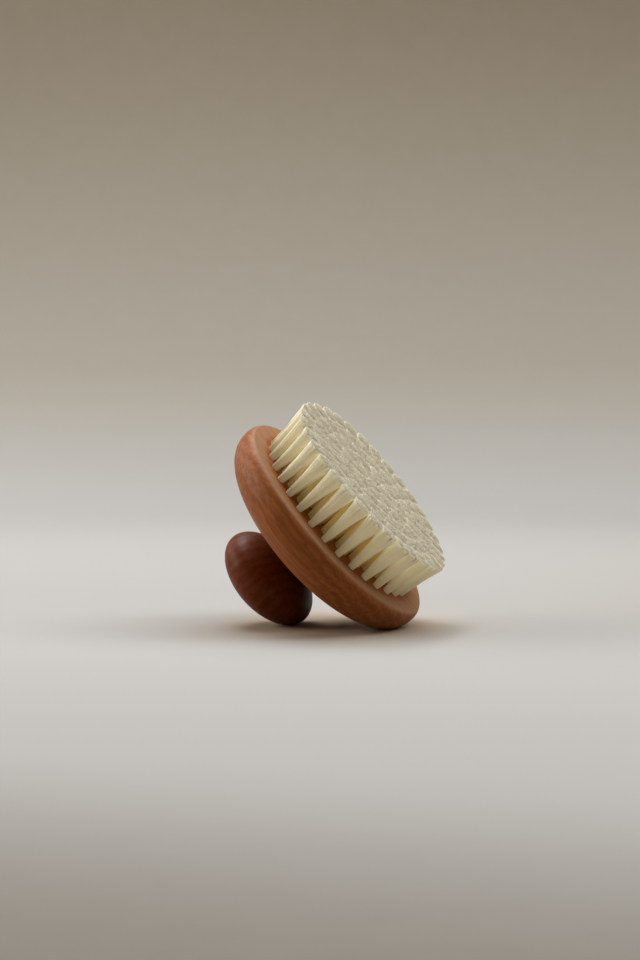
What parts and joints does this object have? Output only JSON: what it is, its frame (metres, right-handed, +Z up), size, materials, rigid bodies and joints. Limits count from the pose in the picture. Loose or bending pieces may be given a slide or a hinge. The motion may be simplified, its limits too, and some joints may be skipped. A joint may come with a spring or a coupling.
{
  "type": "body brush",
  "caption": "Round wooden body brush: a domed turned back with a dowelled mushroom knob as its handle, and rings of flared bristle tufts trimmed level.",
  "frame": {"origin": "on the floor, under the middle of the brush as it lies on the rim of its back and on its knob", "axes": "+Z up; the brush's own axis lies in the XZ plane and leans about 49.6 degrees from +Z towards +X, bristles up; +Y runs across the brush"},
  "size_m": [0.0804, 0.0898, 0.0802],
  "materials": {
    "back_wood": "light reddish-brown turned hardwood, satin lacquer",
    "knob_wood": "dark red-brown turned hardwood, glossy lacquer",
    "dowel_wood": "plain pale hardwood, fluted",
    "bristle": "ivory bristle, matt with a soft sheen"
  },
  "bodies": {
    "root": {"brush_back": "back_wood", "knob": "knob_wood", "knob_dowel": "dowel_wood", "bristles_outer_ring": "bristle", "bristles_second_ring": "bristle", "bristles_third_ring": "bristle", "bristles_centre": "bristle"}
  },
  "joints": []
}
